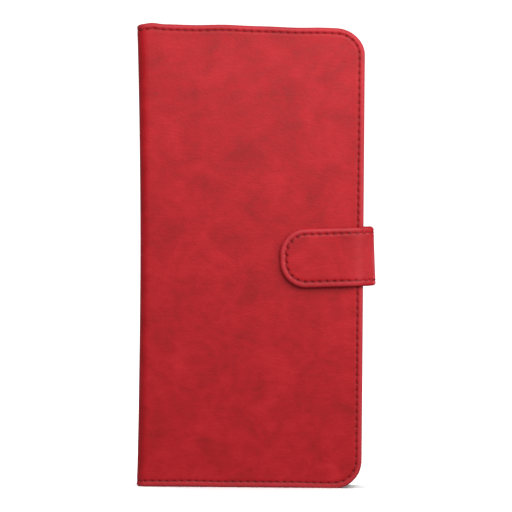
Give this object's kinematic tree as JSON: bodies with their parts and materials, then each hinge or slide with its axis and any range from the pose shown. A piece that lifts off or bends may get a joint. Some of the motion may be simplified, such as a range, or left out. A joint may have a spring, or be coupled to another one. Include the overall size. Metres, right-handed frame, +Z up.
{
  "type": "phone wallet case",
  "caption": "Upright book-style leather phone case with a moulded tray, card and note pockets in the front cover, and a magnetic strap over the fore-edge.",
  "frame": {"origin": "middle of the base, on the surface that the shut case stands on, under the middle of its box", "axes": "+X from the spine to the strap, +Y from the front cover to the back cover, +Z up the length of the case"},
  "size_m": [0.0856, 0.0206, 0.166],
  "materials": {
    "skin_leather": "red PU leather with a mottled pull-up finish and a fine pebbled grain, satin",
    "lining": "thin red PU lining with a fine grain, matt",
    "board": "stiffener board, matt",
    "tpu": "moulded black TPU, satin",
    "thread": "red twisted polyester sewing thread",
    "steel": "plated disc, hidden between the layers"
  },
  "bodies": {
    "back_cover": {"back_skin": "skin_leather", "back_board": "board", "back_lining": "lining", "phone_tray": "tpu", "back_seam_thread": "thread", "strap_root": "skin_leather"},
    "spine": {"spine_skin": "skin_leather", "spine_board": "board", "spine_lining": "lining"},
    "front_cover": {"front_skin": "skin_leather", "front_board": "board", "front_lining": "lining", "keeper_disc": "steel", "front_seam_thread": "thread", "note_pocket": "lining", "card_pocket_1": "lining", "card_pocket_2": "lining", "card_pocket_3": "lining", "pocket_seam_thread": "thread"},
    "strap_bridge": {"strap_bridge_skin": "skin_leather", "strap_bridge_lining": "lining"},
    "strap_tab": {"strap_tab_skin": "skin_leather", "strap_tab_lining": "lining", "strap_magnet": "steel", "strap_seam_thread": "thread"},
    "volume_key": {"volume_key": "tpu"},
    "power_key": {"power_key": "tpu"}
  },
  "joints": [
    {"name": "spine_fold", "type": "hinge", "parent": "back_cover", "child": "spine", "pos_m": [-0.04188, 0.00946, 0.083], "axis": [0, 0, -1], "range_deg": [0, 180]},
    {"name": "cover_fold", "type": "hinge", "parent": "spine", "child": "front_cover", "pos_m": [-0.04188, -0.00701, 0.083], "axis": [0, 0, -1], "range_deg": [0, 180]},
    {"name": "strap_root_fold", "type": "hinge", "parent": "back_cover", "child": "strap_bridge", "pos_m": [0.04177, 0.00914, 0.0826], "axis": [0, 0, 1], "range_deg": [0, 150]},
    {"name": "strap_tab_fold", "type": "hinge", "parent": "strap_bridge", "child": "strap_tab", "pos_m": [0.04177, -0.00934, 0.0826], "axis": [0, 0, 1], "range_deg": [0, 100]},
    {"name": "volume_press", "type": "slide", "parent": "back_cover", "child": "volume_key", "axis": [-1, 0, 0], "range_m": [0, 0.0004], "stiffness_N_per_m": 1500},
    {"name": "power_press", "type": "slide", "parent": "back_cover", "child": "power_key", "axis": [-1, 0, 0], "range_m": [0, 0.0004], "stiffness_N_per_m": 1500}
  ]
}
